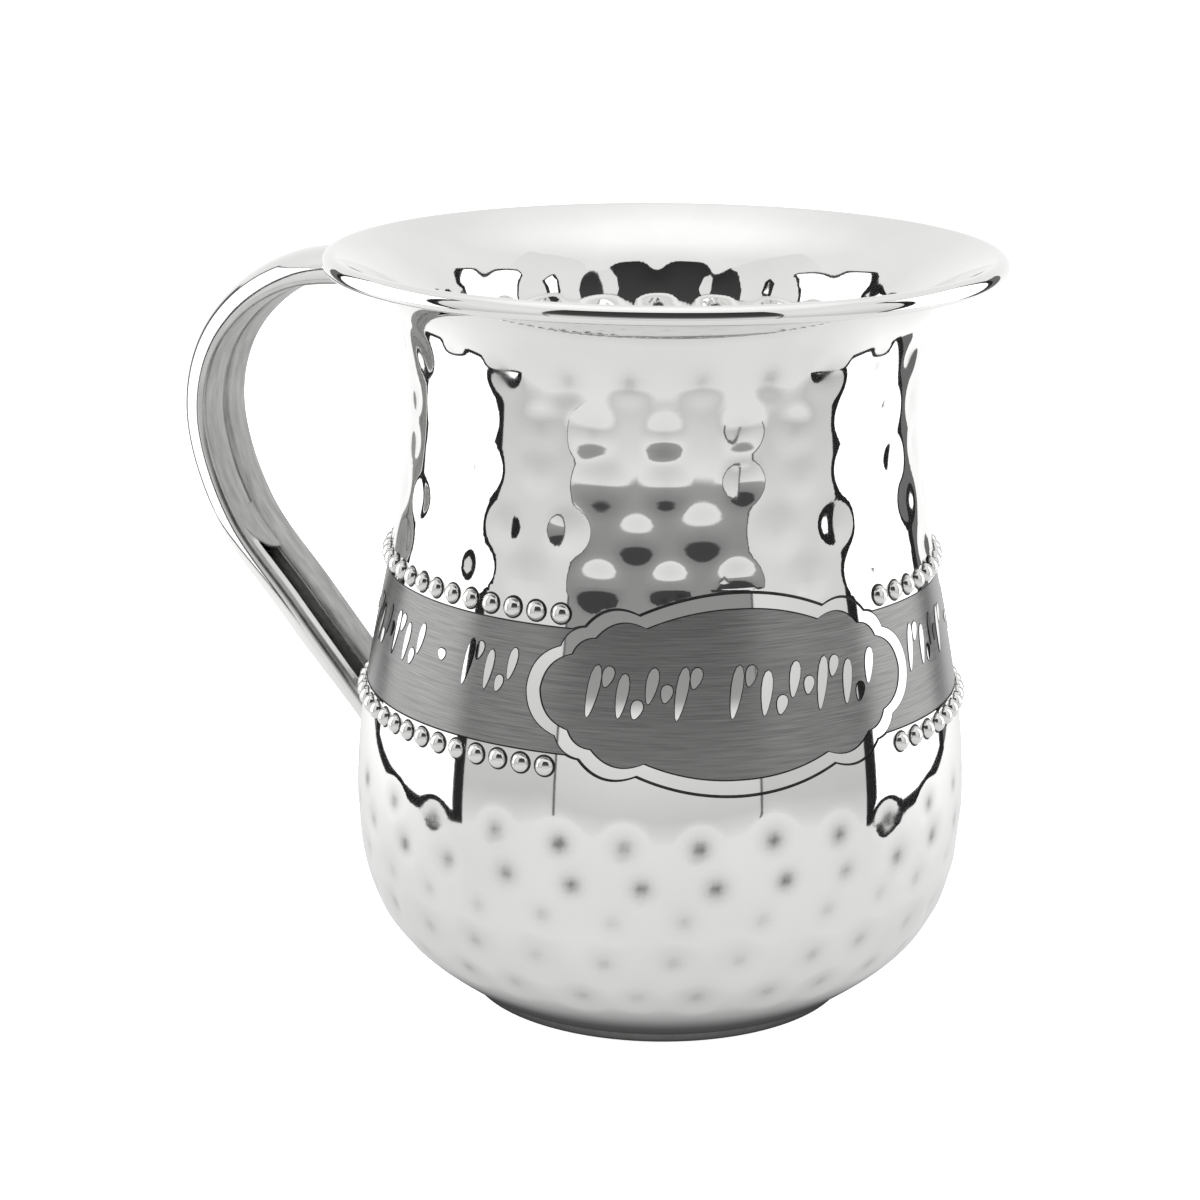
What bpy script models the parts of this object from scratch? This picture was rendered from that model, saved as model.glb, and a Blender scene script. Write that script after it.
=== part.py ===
"""Ritual washing cup: a polished steel cup with hammer marks, an etched belt and a strap handle.

Metres, +Z up. The cup's axis is Z, its underside is z = 0 and the handle points to -X.
"""

import math

import bmesh
import bpy
from mathutils import Matrix, Vector

# Cup, sizes by themselves
HEIGHT = 0.140
RIM_RADIUS = 0.0624
LIP_RADIUS = 0.0018
LIP_SLOPE = math.radians(28.0)
NECK_RADIUS = 0.0468
NECK_HEIGHT = 0.112
BELLY_RADIUS = 0.0572
BELLY_HEIGHT = 0.039
FOOT_RADIUS = 0.0360
FOOT_HEIGHT = 0.0025
FOOT_CREASE = 0.0021
FOOT_SLOPE = math.radians(36.0)
WALL = 0.0008

# Fullness of the wall's three curves, as the lengths of their handles
BOWL_START_PULL = 0.014
BOWL_END_PULL = 0.0236
BELLY_PULL = 0.0243
NECK_LOWER_PULL = 0.0195
NECK_UPPER_PULL = 0.018
FLARE_PULL = 0.008

# Etched belt and its cartouche
BELT_MIDDLE = 0.0711
BELT_WIDTH = 0.0217
ETCH_DEPTH = 0.00015
ETCH_EDGE = 0.0001
CARTOUCHE_ANGLE = math.radians(-55.4)
CARTOUCHE_HALF_LENGTH = 0.0374
CARTOUCHE_HALF_HEIGHT = 0.0170
CARTOUCHE_BORDER = 0.0024
CARTOUCHE_RISE = 0.00025

# Beads beside the belt
BEAD_RADIUS = 0.0020
BEAD_RISE = 0.0013
BEAD_SHOULDER = 0.75
UPPER_BEADS = 68
LOWER_BEADS = 76
UPPER_BEAD_LIFT = 0.0022
LOWER_BEAD_DROP = 0.0022
BEAD_CLEAR = 0.0026
RAISED_SINK = 0.0005

# Hammer marks, in staggered rows that start at a clearance from the belt
MARKS_ROUND = 25
MARK_DEPTH = 0.0004
NECK_MARK_CLEAR = 0.0075
NECK_MARK_PITCH = 0.0087
NECK_MARK_ROWS = 5
BELLY_MARK_CLEAR = 0.0136
BELLY_MARK_PITCH = 0.0080
BELLY_MARK_ROWS = 5

# Handle, rolled from one strap
HANDLE_WIDTH = 0.018
HANDLE_THICK = 0.0066
HANDLE_END_THICK = 0.0056
HANDLE_SHEET = 0.0011
HANDLE_CORNER = 0.0013
HANDLE_REACH = 0.0440
HANDLE_TOP_DROP = 0.0090
HANDLE_FOOT_HEIGHT = 0.0470
HANDLE_SLOT_EDGE = 0.0032
HANDLE_SLOT_HEIGHT = 0.0790
HANDLE_SEAM = 0.0004
HANDLE_END_SHARE = 0.2
HANDLE_CROWN = 0.85
END_EMBED = 0.0016
GAP = 0.0003

# The handle's loop, as shares of its reach out from the neck and of its drop from the rim end
HANDLE_LOOP = [(0.575, 0.024), (0.897, 0.146), (1.0, 0.332), (0.872, 0.553), (0.579, 0.749)]

# Fineness of the faceted forms
WALL_STEPS = MARKS_ROUND * 2
FLARE_RINGS = (0.33, 0.6, 0.82, 1.0)
BOWL_RINGS = 2
INNER_RING_STEP = 2
LIP_STEPS = 6
LIP_ROOM_STEPS = 10
HANDLE_STEPS = 24
PATH_DETAIL = 24
CROWN_STEPS = 6
BEAD_SIDES = 6
MERGE = 0.00001

LIP_CENTRE = (RIM_RADIUS - LIP_RADIUS, HEIGHT - LIP_RADIUS)
BELT_LOW = BELT_MIDDLE - BELT_WIDTH / 2
BELT_HIGH = BELT_MIDDLE + BELT_WIDTH / 2


def clear_scene():
    for item in list(bpy.data.objects):
        bpy.data.objects.remove(item, do_unlink=True)
    for group in list(bpy.data.collections):
        bpy.data.collections.remove(group)


def new_collection(name):
    group = bpy.data.collections.new(name)
    bpy.context.scene.collection.children.link(group)
    return group


def steel(name, colour, roughness):
    material = bpy.data.materials.new(name)
    material.use_nodes = True
    shader = material.node_tree.nodes["Principled BSDF"]
    shader.inputs["Base Color"].default_value = (*colour, 1.0)
    shader.inputs["Metallic"].default_value = 1.0
    shader.inputs["Roughness"].default_value = roughness
    material.diffuse_color = (*colour, 1.0)
    return material


def bezier(points, share):
    """The point and the tangent of a cubic curve at a share of its way."""
    rest = 1.0 - share
    weights = (rest**3, 3 * rest * rest * share, 3 * rest * share * share, share**3)
    slopes = (-3 * rest * rest, 3 * rest * (rest - 2 * share), 3 * share * (2 * rest - share), 3 * share**2)
    place = tuple(sum(w * p[axis] for w, p in zip(weights, points)) for axis in (0, 1))
    tangent = tuple(sum(w * p[axis] for w, p in zip(slopes, points)) for axis in (0, 1))
    return place, tangent


def lip_join():
    """Where the outer side of the flare runs into the rolled lip."""
    back = math.sqrt(LIP_RADIUS**2 - (LIP_RADIUS - WALL) ** 2)
    inward = (-math.sin(LIP_SLOPE), math.cos(LIP_SLOPE))
    along = (math.cos(LIP_SLOPE), math.sin(LIP_SLOPE))
    return tuple(
        LIP_CENTRE[axis] + (LIP_RADIUS - WALL) * inward[axis] - back * along[axis] for axis in (0, 1)
    )


def wall_curves():
    """Outer side of the wall from the foot's crease to the lip, as three curves of (radius, height)."""
    start = (FOOT_RADIUS + FOOT_CREASE, FOOT_HEIGHT)
    belly = (BELLY_RADIUS, BELLY_HEIGHT)
    neck = (NECK_RADIUS, NECK_HEIGHT)
    end = lip_join()
    bowl = [
        start,
        (
            start[0] + BOWL_START_PULL * math.cos(FOOT_SLOPE),
            start[1] + BOWL_START_PULL * math.sin(FOOT_SLOPE),
        ),
        (belly[0], belly[1] - BOWL_END_PULL),
        belly,
    ]
    body = [belly, (belly[0], belly[1] + BELLY_PULL), (neck[0], neck[1] - NECK_LOWER_PULL), neck]
    flare = [
        neck,
        (neck[0], neck[1] + NECK_UPPER_PULL),
        (end[0] - FLARE_PULL * math.cos(LIP_SLOPE), end[1] - FLARE_PULL * math.sin(LIP_SLOPE)),
        end,
    ]
    return [bowl, body, flare]


CURVES = wall_curves()


def wall_at(height):
    """The wall's outer radius at a height, with the outward normal there."""
    height = min(max(height, CURVES[0][0][1]), CURVES[-1][-1][1])
    curve = next(c for c in CURVES if height <= c[3][1])
    low, high = 0.0, 1.0
    for _ in range(40):
        middle = (low + high) / 2
        if bezier(curve, middle)[0][1] < height:
            low = middle
        else:
            high = middle
    place, tangent = bezier(curve, (low + high) / 2)
    length = math.hypot(*tangent)
    return place[0], (tangent[1] / length, -tangent[0] / length)


def wall_point(height, offset):
    """A point of the wall moved along its normal, as (radius, height)."""
    radius, normal = wall_at(height)
    return radius + offset * normal[0], height + offset * normal[1]


def belly_rows():
    """Heights of the rows of hammer marks on the belly, from under the belt down."""
    return [BELT_LOW - BELLY_MARK_CLEAR - i * BELLY_MARK_PITCH for i in range(BELLY_MARK_ROWS)]


def neck_rows():
    """Heights of the rows of hammer marks on the neck, from above the belt up."""
    return [BELT_HIGH + NECK_MARK_CLEAR + i * NECK_MARK_PITCH for i in range(NECK_MARK_ROWS)]


def outer_heights():
    """Heights of the outer wall's rings: mark rows, rings under the lower rows, plain stretches."""
    heights = belly_rows() + neck_rows()
    heights += [z - BELLY_MARK_PITCH / 2 for z in belly_rows()[-BOWL_RINGS:]]
    heights += [BELT_LOW - 2 * BEAD_RADIUS, BELT_MIDDLE]
    flare_low = neck_rows()[-1]
    flare_high = CURVES[-1][-1][1]
    heights += [flare_low + (flare_high - flare_low) * share for share in FLARE_RINGS]
    foot = CURVES[0][0][1]
    return [foot] + sorted(z for z in heights if foot + MERGE < z <= flare_high)


def outer_profile(offset):
    """Outer side from the foot's crease up to the lip, moved outward by an offset."""
    return [wall_point(z, offset) for z in outer_heights()]


def inner_heights():
    """Heights of the inner wall's rings: all the outer ones from the belt up, and few in the bowl."""
    heights = outer_heights()
    bowl = [z for z in heights if z < BELT_MIDDLE]
    return bowl[::INNER_RING_STEP] + [z for z in heights if z >= BELT_MIDDLE]


def lip_arc(radius, start, end, steps):
    """Points of (radius, height) on an arc round the lip's centre."""
    return [
        (
            LIP_CENTRE[0] + radius * math.cos(start + (end - start) * i / steps),
            LIP_CENTRE[1] + radius * math.sin(start + (end - start) * i / steps),
        )
        for i in range(steps + 1)
    ]


def shell_profile():
    """The closed section of the cup, from the inner floor up, over the lip and down the outer side."""
    corner = FOOT_RADIUS - WALL
    floor = [(0.0, WALL), (corner, WALL), (corner, FOOT_HEIGHT + WALL)]
    inner = [wall_point(z, -WALL) for z in inner_heights()]
    top_start = math.pi / 2 + LIP_SLOPE
    join = lip_join()
    top_end = math.atan2(join[1] - LIP_CENTRE[1], join[0] - LIP_CENTRE[0]) - 2 * math.pi
    lip = lip_arc(LIP_RADIUS, top_start, top_end, LIP_STEPS)[:-1]
    outer = belt_steps(outer_profile(0.0))[::-1]
    foot = [(FOOT_RADIUS, FOOT_HEIGHT), (FOOT_RADIUS, 0.0)]
    return [*floor, *inner, *lip, *outer, *foot, (0.0, 0.0)]


def belt_steps(points):
    """The outer side with the belt's stretch sunk by the etching."""
    below = [p for p in points if p[1] < BELT_LOW - ETCH_EDGE]
    above = [p for p in points if p[1] > BELT_HIGH + ETCH_EDGE]
    belt = [wall_point(BELT_LOW - ETCH_EDGE, 0.0)]
    belt += [wall_point(z, -ETCH_DEPTH) for z in (BELT_LOW, BELT_HIGH)]
    belt += [wall_point(BELT_HIGH + ETCH_EDGE, 0.0)]
    return below + belt + above


def turned(name, profile, group, steps=WALL_STEPS):
    """A solid turned about Z from a profile of (radius, height)."""
    mesh = bpy.data.meshes.new(name)
    edges = [(i, i + 1) for i in range(len(profile) - 1)]
    mesh.from_pydata([(r, 0.0, z) for r, z in profile], edges, [])
    shape = bpy.data.objects.new(name, mesh)
    group.objects.link(shape)
    screw = shape.modifiers.new("Turn", "SCREW")
    screw.axis = "Z"
    screw.angle = 2 * math.pi
    screw.steps = steps
    screw.render_steps = steps
    screw.use_merge_vertices = True
    screw.merge_threshold = MERGE
    screw.use_smooth_shade = False
    return shape


def baked(shape):
    """The same object with its modifiers turned into mesh."""
    bpy.context.view_layer.update()
    view = shape.evaluated_get(bpy.context.evaluated_depsgraph_get())
    mesh = bpy.data.meshes.new_from_object(view)
    solid = bpy.data.objects.new(shape.name + "_solid", mesh)
    solid.matrix_world = shape.matrix_world
    for group in shape.users_collection:
        group.objects.link(solid)
    name = shape.name
    bpy.data.objects.remove(shape, do_unlink=True)
    solid.name = name
    return solid


def on_wall(angle, height, rise):
    """A point of the cup's outer side at an angle about Z, raised along the normal."""
    radius, z = wall_point(height, rise)
    return Vector((radius * math.cos(angle), radius * math.sin(angle), z))


def press_hammer_marks(shape):
    """Pushes every second vertex of each mark row inward, turned by one step in every other row."""
    rows = [(z, i % 2) for group in (belly_rows(), neck_rows()) for i, z in enumerate(group)]
    step = 2 * math.pi / WALL_STEPS
    for vertex in shape.data.vertices:
        place = vertex.co
        radius = math.hypot(place.x, place.y)
        for height, turn in rows:
            outer, normal = wall_at(height)
            if abs(place.z - height) > MERGE or abs(radius - outer) > MERGE:
                continue
            index = round(math.atan2(place.y, place.x) / step)
            if index % 2 == turn:
                share = (radius - MARK_DEPTH * normal[0]) / radius
                vertex.co = Vector((place.x * share, place.y * share, place.z - MARK_DEPTH * normal[1]))


def scallop_arcs():
    """A quarter of the cartouche: arcs as (start, end, bulge, steps), points in shares of its half sizes."""
    return [
        ((0.0, 1.0), (0.463, 0.788), 0.051, 4),
        ((0.463, 0.788), (0.722, 0.653), 0.190, 2),
        ((0.722, 0.653), (0.842, 0.447), 0.160, 2),
        ((0.842, 0.447), (1.0, 0.0), 0.172, 3),
    ]


def cartouche_outline(inset):
    """The scalloped outline round its centre, as (along, up), anticlockwise and drawn in by an inset."""
    along = CARTOUCHE_HALF_LENGTH - inset
    up = CARTOUCHE_HALF_HEIGHT - inset
    quarter = []
    for start, end, bulge, steps in scallop_arcs():
        first = Vector((start[0] * along, start[1] * up))
        last = Vector((end[0] * along, end[1] * up))
        chord = last - first
        outward = Vector((-chord.y, chord.x)).normalized()
        for i in range(steps):
            share = i / steps
            lift = 4 * share * (1 - share) * bulge * chord.length
            quarter.append(first + chord * share + outward * lift)
    corner = Vector((along, 0.0))
    right_up = quarter + [corner]
    right = right_up + [Vector((p.x, -p.y)) for p in reversed(right_up[:-1])]
    left = [Vector((-p.x, p.y)) for p in reversed(right[1:-1])]
    return right + left


def cartouche_border(group):
    """The raised border of the cartouche, a closed ring that hugs the wall."""
    outer = cartouche_outline(0.0)
    inner = cartouche_outline(CARTOUCHE_BORDER)
    belt_radius = wall_at(BELT_MIDDLE)[0]
    corners = [(outer, CARTOUCHE_RISE), (inner, CARTOUCHE_RISE), (inner, -RAISED_SINK), (outer, -RAISED_SINK)]
    work = bmesh.new()
    loops = []
    for outline, rise in corners:
        ring = []
        for point in outline:
            angle = CARTOUCHE_ANGLE + point.x / belt_radius
            ring.append(work.verts.new(on_wall(angle, BELT_MIDDLE + point.y, rise)))
        loops.append(ring)
    count = len(outer)
    for first, second in zip(loops, loops[1:] + loops[:1]):
        for i in range(count):
            j = (i + 1) % count
            work.faces.new((first[i], first[j], second[j], second[i]))
    bmesh.ops.recalc_face_normals(work, faces=work.faces)
    mesh = bpy.data.meshes.new("cartouche_border")
    work.to_mesh(mesh)
    work.free()
    shape = bpy.data.objects.new("cartouche_border", mesh)
    group.objects.link(shape)
    return shape


def cartouche_covers(angle, height):
    """True where a bead would touch the cartouche."""
    turn = (angle - CARTOUCHE_ANGLE + math.pi) % (2 * math.pi) - math.pi
    along = abs(turn) * wall_at(BELT_MIDDLE)[0]
    up = abs(height - BELT_MIDDLE)
    outline = [p for p in cartouche_outline(0.0) if p.x >= 0.0 and p.y >= 0.0]
    reach = max((p.x for p in outline if p.y >= up - BEAD_RADIUS), default=0.0)
    return along < reach + BEAD_CLEAR


def bead_rows(group):
    """Both rows of beads as one object of low six-sided domes sunk into the wall."""
    rows = ((BELT_HIGH + UPPER_BEAD_LIFT, UPPER_BEADS), (BELT_LOW - LOWER_BEAD_DROP, LOWER_BEADS))
    rings = ((BEAD_RADIUS, -RAISED_SINK), (BEAD_RADIUS * BEAD_SHOULDER, BEAD_RISE * BEAD_SHOULDER))
    turns = [2 * math.pi * k / BEAD_SIDES for k in range(BEAD_SIDES)]
    work = bmesh.new()
    for height, count in rows:
        normal = wall_at(height)[1]
        for i in range(count):
            angle = CARTOUCHE_ANGLE + (i + 0.5) * 2 * math.pi / count
            if cartouche_covers(angle, height):
                continue
            outward = Vector((normal[0] * math.cos(angle), normal[0] * math.sin(angle), normal[1]))
            turn = outward.to_track_quat("Z", "X").to_matrix().to_4x4()
            place = Matrix.Translation(on_wall(angle, height, 0.0)) @ turn
            loops = []
            for radius, rise in rings:
                corners = [Vector((radius * math.cos(a), radius * math.sin(a), rise)) for a in turns]
                loops.append([work.verts.new(place @ corner) for corner in corners])
            tip = work.verts.new(place @ Vector((0.0, 0.0, BEAD_RISE)))
            lower, upper = loops
            for k in range(BEAD_SIDES):
                after = (k + 1) % BEAD_SIDES
                work.faces.new((lower[k], lower[after], upper[after], upper[k]))
                work.faces.new((upper[k], upper[after], tip))
            work.faces.new(list(reversed(lower)))
    mesh = bpy.data.meshes.new("beads")
    work.to_mesh(mesh)
    work.free()
    shape = bpy.data.objects.new("beads", mesh)
    group.objects.link(shape)
    return shape


def boolean(shape, tool, operation):
    cut = shape.modifiers.new(operation.title(), "BOOLEAN")
    cut.operation = operation
    cut.solver = "EXACT"
    cut.object = tool
    tool.hide_render = True
    tool.display_type = "WIRE"


def handle_path():
    """Points of the handle's inner face in the XZ plane, from the rim end to the belly end."""
    top = HEIGHT - HANDLE_TOP_DROP
    drop = top - HANDLE_FOOT_HEIGHT
    first = (wall_at(top)[0] - END_EMBED, top)
    last = (wall_at(HANDLE_FOOT_HEIGHT)[0] - END_EMBED, HANDLE_FOOT_HEIGHT)
    loop = [(NECK_RADIUS + HANDLE_REACH * out, top - drop * down) for out, down in HANDLE_LOOP]
    return [Vector((-r, 0.0, z)) for r, z in [first, *loop, last]]


def smooth_path(points, steps):
    """Evenly spaced points of a smooth curve through the given ones."""
    ends = [2 * points[0] - points[1], *points, 2 * points[-1] - points[-2]]
    dense = []
    for a, b, c, d in zip(ends, ends[1:], ends[2:], ends[3:]):
        for i in range(PATH_DETAIL):
            t = i / PATH_DETAIL
            bend = (2 * a - 5 * b + 4 * c - d) * t * t + (3 * b - a - 3 * c + d) * t**3
            dense.append(b + ((c - a) * t + bend) / 2)
    dense.append(points[-1])
    lengths = [0.0]
    for a, b in zip(dense, dense[1:]):
        lengths.append(lengths[-1] + (b - a).length)
    evened = []
    for i in range(steps + 1):
        goal = lengths[-1] * i / steps
        k = next((n for n in range(1, len(lengths)) if lengths[n] >= goal), len(lengths) - 1)
        share = (goal - lengths[k - 1]) / (lengths[k] - lengths[k - 1])
        evened.append(dense[k - 1].lerp(dense[k], share))
    return evened


def crowned_section(width, thick, corner):
    """A D section as (across, out): a flat inner side with small corners and a crowned outer side."""
    half = width / 2
    section = [(-half + corner, 0.0), (half - corner, 0.0)]
    for i in range(CROWN_STEPS + 1):
        turn = math.pi * i / CROWN_STEPS
        section.append((half * math.cos(turn), corner + (thick - corner) * math.sin(turn) ** HANDLE_CROWN))
    return section


def sweep(name, path, sections, group):
    """A solid swept along a path in the XZ plane, with one section for each point."""
    work = bmesh.new()
    loops = []
    for i, place in enumerate(path):
        tangent = (path[min(i + 1, len(path) - 1)] - path[max(i - 1, 0)]).normalized()
        outward = Vector((0.0, 1.0, 0.0)).cross(tangent)
        loops.append([work.verts.new(place + Vector((0, a, 0)) + outward * o) for a, o in sections[i]])
    count = len(loops[0])
    for lower, upper in zip(loops, loops[1:]):
        for k in range(count):
            work.faces.new((lower[k], lower[(k + 1) % count], upper[(k + 1) % count], upper[k]))
    work.faces.new(list(reversed(loops[0])))
    work.faces.new(loops[-1])
    bmesh.ops.recalc_face_normals(work, faces=work.faces)
    mesh = bpy.data.meshes.new(name)
    work.to_mesh(mesh)
    work.free()
    shape = bpy.data.objects.new(name, mesh)
    group.objects.link(shape)
    return shape


def handle_thickness(share):
    """Full in the middle and thinner at both ends, by a share of the handle's length."""
    fullness = min(1.0, min(share, 1.0 - share) / HANDLE_END_SHARE)
    return HANDLE_END_THICK + (HANDLE_THICK - HANDLE_END_THICK) * fullness * fullness * (3 - 2 * fullness)


def handle_hollow(path, thick, group):
    """The room inside the rolled strap, closed near the rim and open at the belly end."""
    sections = []
    for t in thick:
        inside = crowned_section(HANDLE_WIDTH - 2 * HANDLE_SHEET, t - 2 * HANDLE_SHEET, HANDLE_CORNER / 2)
        sections.append([(a, o + HANDLE_SHEET) for a, o in inside])
    past_end = 2 * path[-1] - path[-2]
    return sweep("handle_hollow", [*path[2:], past_end], [*sections[2:], sections[-1]], group)


def handle_slot(path, group):
    """The opening low in the inner face, from the seam to near the edge on the panel's side."""
    first = next(i for i, p in enumerate(path) if p.z < HANDLE_SLOT_HEIGHT and i > HANDLE_STEPS / 2)
    edge = HANDLE_SLOT_EDGE - HANDLE_WIDTH / 2
    depth = 2 * HANDLE_SHEET - GAP
    section = [(edge, -HANDLE_SHEET), (-HANDLE_SEAM, -HANDLE_SHEET), (-HANDLE_SEAM, depth), (edge, depth)]
    past_end = 3 * path[-1] - 2 * path[-2]
    stretch = [(path[first] + path[first + 1]) / 2, *path[first + 1 :], past_end]
    return sweep("handle_slot", stretch, [section] * len(stretch), group)


def cup_room(group):
    """The cup's own outer form and a gap round it, which the handle's ends are cut to."""
    join = lip_join()
    lip_end = math.atan2(join[1] - LIP_CENTRE[1], join[0] - LIP_CENTRE[0])
    lip_start = lip_end - 2 * math.pi + 2 * math.pi / 18
    room = [(0.0, -GAP), (FOOT_RADIUS + GAP, -GAP), *outer_profile(GAP)[:-1]]
    room += lip_arc(LIP_RADIUS + GAP, lip_start, math.pi / 2, LIP_ROOM_STEPS)
    room += [(0.0, HEIGHT + GAP)]
    return turned("cup_room", room[::-1], group)


def build_handle(parts, cutters):
    path = smooth_path(handle_path(), HANDLE_STEPS)
    thick = [handle_thickness(i / HANDLE_STEPS) for i in range(HANDLE_STEPS + 1)]
    outer = [crowned_section(HANDLE_WIDTH, t, HANDLE_CORNER) for t in thick]
    shape = sweep("handle", path, outer, parts)
    boolean(shape, handle_hollow(path, thick, cutters), "DIFFERENCE")
    boolean(shape, handle_slot(path, cutters), "DIFFERENCE")
    boolean(shape, cup_room(cutters), "DIFFERENCE")
    return shape


def build_cup(parts, cutters):
    cup = baked(turned("cup_body", shell_profile(), parts))
    press_hammer_marks(cup)
    boolean(cup, bead_rows(cutters), "UNION")
    boolean(cup, cartouche_border(cutters), "UNION")
    return cup


def main():
    clear_scene()
    parts = new_collection("ritual_washing_cup")
    cutters = new_collection("cutters")
    cup = build_cup(parts, cutters)
    cup.data.materials.clear()
    cup.data.materials.append(steel("polished_steel", (0.78, 0.78, 0.77), 0.12))
    handle = build_handle(parts, cutters)
    handle.data.materials.append(steel("handle_steel", (0.74, 0.74, 0.73), 0.22))


main()
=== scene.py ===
"""Looks of the ritual washing cup: hammered mirror steel, an etched satin belt and a rolled strap handle.

Metres, +Z up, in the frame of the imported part: the cup's axis is Z and the handle points to -X.
"""

import math

import bpy
import numpy as np
from mathutils import Matrix, Vector
from mathutils.geometry import delaunay_2d_cdt


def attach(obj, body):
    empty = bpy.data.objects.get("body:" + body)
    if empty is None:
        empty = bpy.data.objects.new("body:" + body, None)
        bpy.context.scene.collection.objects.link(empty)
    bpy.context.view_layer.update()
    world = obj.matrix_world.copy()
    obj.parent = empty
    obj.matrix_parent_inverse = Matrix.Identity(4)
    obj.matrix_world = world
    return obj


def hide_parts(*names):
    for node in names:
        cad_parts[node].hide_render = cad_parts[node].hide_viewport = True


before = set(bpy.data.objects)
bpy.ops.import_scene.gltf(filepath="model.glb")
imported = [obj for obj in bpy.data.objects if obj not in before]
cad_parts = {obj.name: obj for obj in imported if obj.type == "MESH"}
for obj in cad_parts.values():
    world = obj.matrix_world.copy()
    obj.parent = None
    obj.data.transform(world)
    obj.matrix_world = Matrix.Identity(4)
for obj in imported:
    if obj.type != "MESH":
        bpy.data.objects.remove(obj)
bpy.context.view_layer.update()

MM = 0.001

# Cup, the same sizes as the solids, with the lip drawn in to stay inside their box
HEIGHT = 0.140
RIM_RADIUS = 0.0624
LIP_RADIUS = 0.0018
LIP_SLOPE = math.radians(28.0)
LIP_INSET = 0.0002
NECK_RADIUS = 0.0468
NECK_HEIGHT = 0.112
BELLY_RADIUS = 0.0572
BELLY_HEIGHT = 0.039
FOOT_RADIUS = 0.0360
FOOT_HEIGHT = 0.0025
FOOT_CREASE = 0.0021
FOOT_SLOPE = math.radians(36.0)
FOOT_SHOULDER = 0.0004
FOOT_EDGE = 0.0005
FLOOR_FILLET = 0.0012
FLOOR_STEP = 0.0008
FLOOR_STEP_DROP = 0.0009
WALL = 0.0008
BOWL_START_PULL = 0.014
BOWL_END_PULL = 0.0236
BELLY_PULL = 0.0243
NECK_LOWER_PULL = 0.0195
NECK_UPPER_PULL = 0.018
FLARE_PULL = 0.008
LIP_CENTRE = (RIM_RADIUS - LIP_RADIUS - LIP_INSET, HEIGHT - LIP_RADIUS - LIP_INSET)

# Belt, cartouche and beads, and the grooves beside them, painted dark as shade along the edges
BELT_MIDDLE = 0.0711
BELT_WIDTH = 0.0217
BELT_LOW = BELT_MIDDLE - BELT_WIDTH / 2
BELT_HIGH = BELT_MIDDLE + BELT_WIDTH / 2
CARTOUCHE_ANGLE = math.radians(-55.4)
CARTOUCHE_HALF_LENGTH = 0.0374
CARTOUCHE_HALF_HEIGHT = 0.0170
CARTOUCHE_BORDER = 0.0024
ETCH_DEPTH = 0.00010
GROOVE_DEPTH = 0.00016
GROOVE_WIDE = 0.00055
GROOVE_THIN = 0.00026
STROKE_GROOVE = 0.00018
BEAD_RADIUS = 0.0017
BEAD_RISE = 0.0014
# Painted shade round a bead's foot: a flat dark ring as (out, lift) from the bead's middle
BEAD_FOOT_SHADE = [(0.0021, -0.00010), (0.00195, 0.00004), (0.00162, 0.00010)]
UPPER_BEADS = 68
LOWER_BEADS = 76
UPPER_BEAD_LIFT = 0.0022
LOWER_BEAD_DROP = 0.0022
BEAD_CLEAR = 0.0026

# Rows of strokes: where they run, in degrees to the viewer's right, and each row's low edge, high edge,
# pitch and half width. A kind is a half length and a lift, as shares of the row's height, and a lean
CARTOUCHE_STROKES = [(-14.0, 8.0), (12.7, 45.0)]
CARTOUCHE_ROW = (0.0670, 0.0762, 0.0027, 0.00096)
BELT_STROKES = [(-82.0, -53.0), (-41.0, -28.0), (56.0, 76.0), (88.0, 112.0), (124.0, 148.0), (160.0, 184.0)]
BELT_STROKES += [(-118.0, -94.0), (-154.0, -130.0)]
BELT_ROW = (0.0692, 0.0776, 0.0024, 0.00080)
STROKE_KINDS = [(0.50, 0.0, 11), (0.20, 0.28, 17), (0.42, -0.06, 9)]
STROKE_KINDS += [(0.18, -0.30, 16), (0.34, 0.14, 12), (0.17, 0.0, 14)]
DOTS = (-47.0, -88.0, -124.0, 82.0, 118.0, 154.0)
DOT_LIFT = 0.0022
DOT_RADIUS = 0.0010

# Each row of hammer marks: height, depth and radius in millimetres, one mark's angle from the viewer's
# direction, and how dark the painted reflection in the middle of a mark is
NECK_MARKS_ROUND = 25
NECK_MARK_ROWS = [
    (0.0895, 0.42, 5.2, 1.7, 0.12),
    (0.0982, 0.40, 5.2, -5.5, 0.12),
    (0.1069, 0.40, 5.2, 1.3, 0.15),
    (0.1156, 0.40, 5.2, 0.4, 0.20),
    (0.1243, 0.34, 5.2, -5.7, 0.55),
]
BELLY_MARKS_ROUND = 28
BELLY_MARK_ROWS = [
    (0.0447, 0.20, 5.0, -5.9, 1.20),
    (0.0374, 0.46, 5.3, -2.6, 1.00),
    (0.0307, 0.54, 5.3, -7.4, 0.45),
    (0.0227, 0.54, 5.6, 3.0, 0.45),
    (0.0150, 0.44, 5.4, -3.4, 0.45),
]
# Width of the painted dark reflection in the middle of each hammer mark
MARK_SPOT = 0.0011
MARK_SEED = 7
INNER_SHARE = 1.4
# Painted shade on the foot's band and underside
FOOT_SHADE = 0.35

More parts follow.
